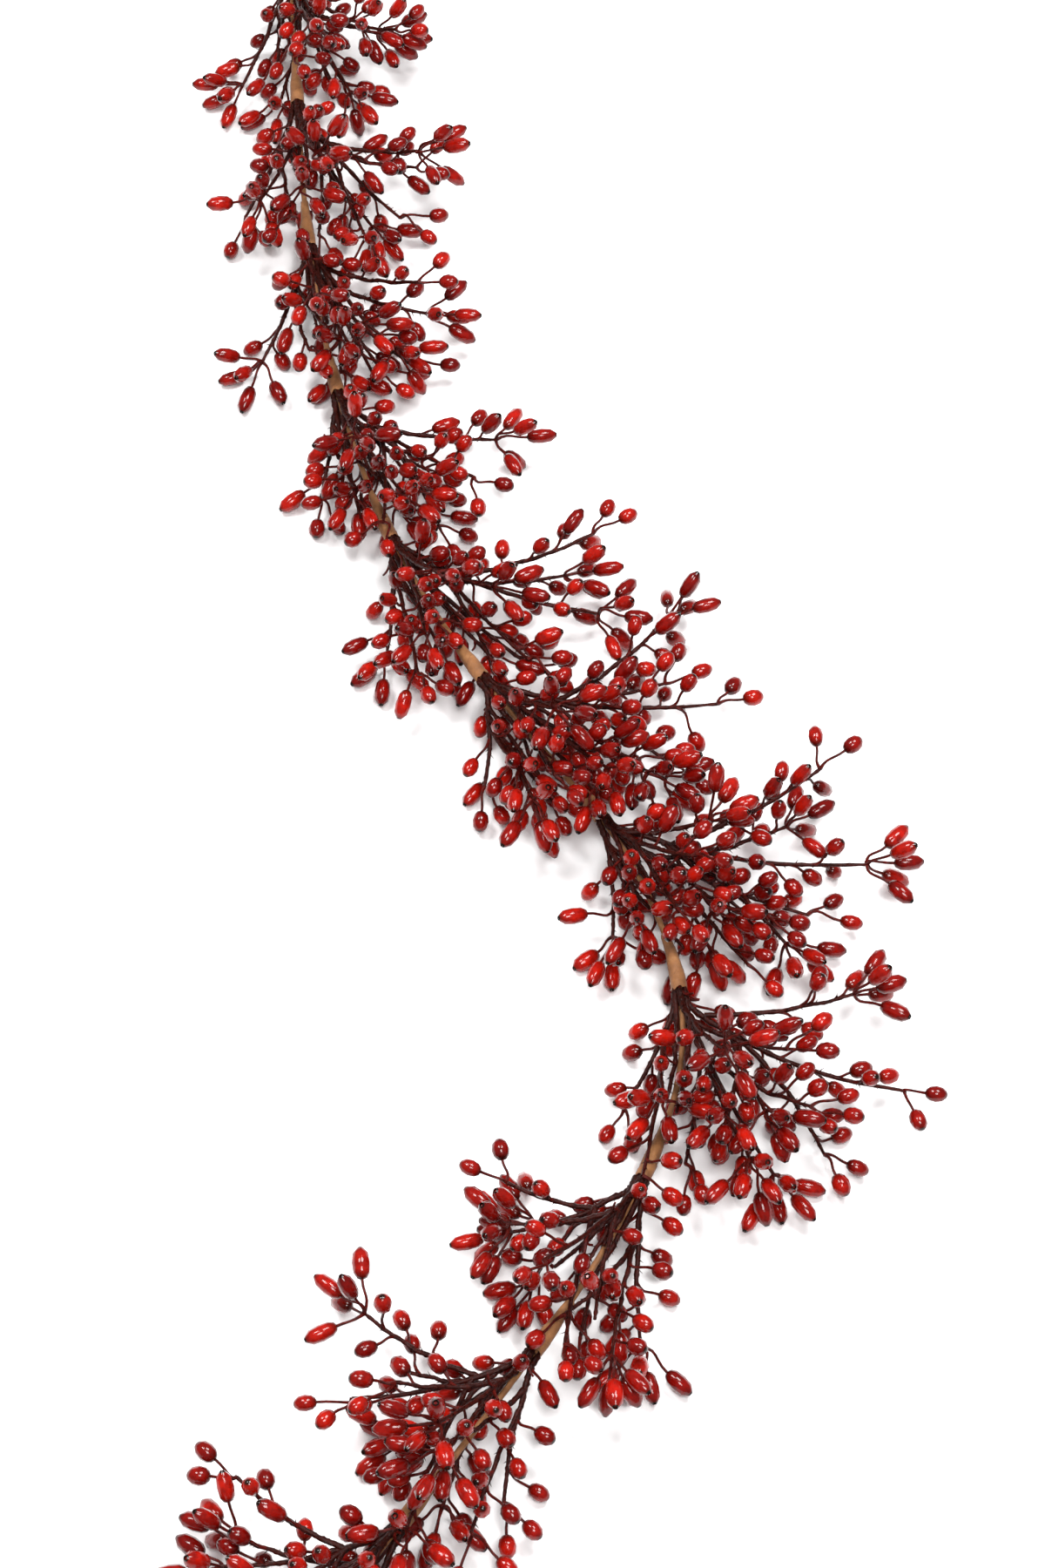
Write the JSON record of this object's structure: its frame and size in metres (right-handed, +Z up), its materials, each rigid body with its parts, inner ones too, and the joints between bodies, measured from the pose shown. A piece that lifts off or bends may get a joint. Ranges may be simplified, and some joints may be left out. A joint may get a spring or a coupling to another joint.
{
  "type": "rose hip sprig garland",
  "caption": "Long flexible garland of branched red rose hip sprigs bound to a paper-wrapped wire with paper sleeves, laid in an S on a flat surface.",
  "frame": {"origin": "middle of the footprint's bounding box, on the surface the garland lies on", "axes": "+Z up; +Y towards the garland's upper end; twigs point to -Y"},
  "size_m": [0.4436, 1.2304, 0.1015],
  "materials": {
    "tape": "crinkled tan florist's paper, matte, with darker overlaps",
    "sprig": "hips in deep red gloss lacquer on dark maroon-brown rough twigs"
  },
  "bodies": {
    "root": {"main_stem": "tape", "tape_wrap_01": "tape", "tape_wrap_02": "tape", "tape_wrap_03": "tape", "tape_wrap_04": "tape", "tape_wrap_05": "tape", "tape_wrap_06": "tape", "tape_wrap_07": "tape", "tape_wrap_08": "tape", "tape_wrap_09": "tape", "tape_wrap_10": "tape", "tape_wrap_11": "tape", "sprig_01": "sprig", "sprig_02": "sprig", "sprig_03": "sprig", "sprig_04": "sprig", "sprig_05": "sprig", "sprig_06": "sprig", "sprig_07": "sprig", "sprig_08": "sprig", "sprig_09": "sprig", "sprig_10": "sprig", "sprig_11": "sprig", "sprig_12": "sprig", "sprig_13": "sprig", "sprig_14": "sprig", "sprig_15": "sprig", "sprig_16": "sprig", "sprig_17": "sprig", "sprig_18": "sprig", "sprig_19": "sprig", "sprig_20": "sprig", "sprig_21": "sprig", "sprig_22": "sprig", "sprig_23": "sprig", "sprig_24": "sprig", "sprig_25": "sprig", "sprig_26": "sprig", "sprig_27": "sprig", "sprig_28": "sprig", "sprig_29": "sprig", "sprig_30": "sprig", "sprig_31": "sprig", "sprig_32": "sprig", "sprig_33": "sprig", "sprig_34": "sprig", "sprig_35": "sprig", "sprig_36": "sprig", "sprig_37": "sprig", "sprig_38": "sprig", "sprig_39": "sprig", "sprig_40": "sprig", "sprig_41": "sprig", "sprig_42": "sprig", "sprig_43": "sprig", "sprig_44": "sprig"}
  },
  "joints": []
}
